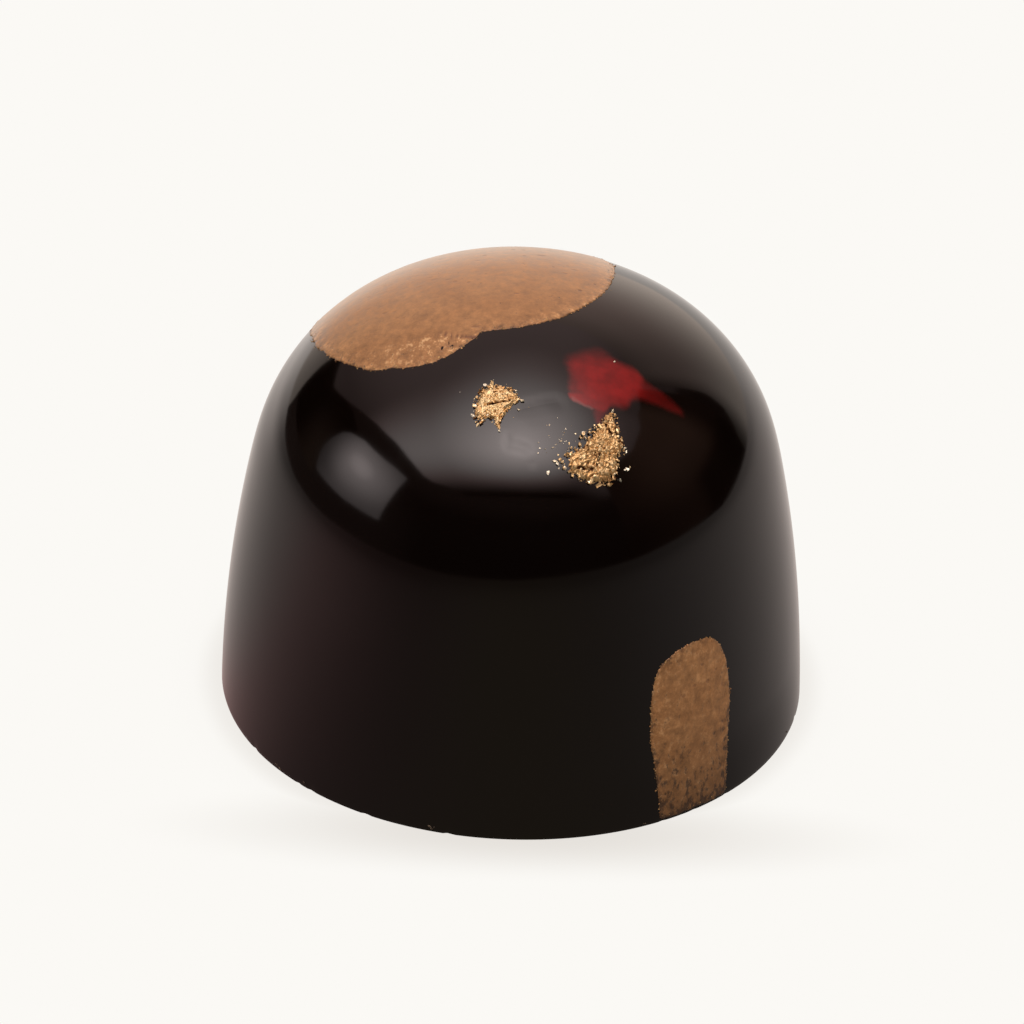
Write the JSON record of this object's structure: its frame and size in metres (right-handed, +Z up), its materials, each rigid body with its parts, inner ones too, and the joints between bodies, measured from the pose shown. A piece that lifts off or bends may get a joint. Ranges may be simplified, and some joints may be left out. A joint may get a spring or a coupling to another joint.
{
  "type": "chocolate praline",
  "caption": "Moulded dark chocolate praline: a tall round dome on a flat base, with bronze lustre films, a red cocoa butter brush mark and gold flakes.",
  "frame": {"origin": "centre of the flat base, on the surface that the praline stands on", "axes": "+Z up along the dome's axis, +X to the right and +Y to the back as the praline is shown, with the gold flakes and the stripe in front"},
  "size_m": [0.028, 0.028, 0.0217],
  "materials": {
    "dark_chocolate": "glossy tempered chocolate",
    "bronze_lustre": "brushed-on bronze lustre powder",
    "red_cocoa_butter": "glossy coloured cocoa butter",
    "gold_leaf": "crumpled gold flakes"
  },
  "bodies": {
    "root": {"praline": "dark_chocolate"}
  },
  "joints": []
}
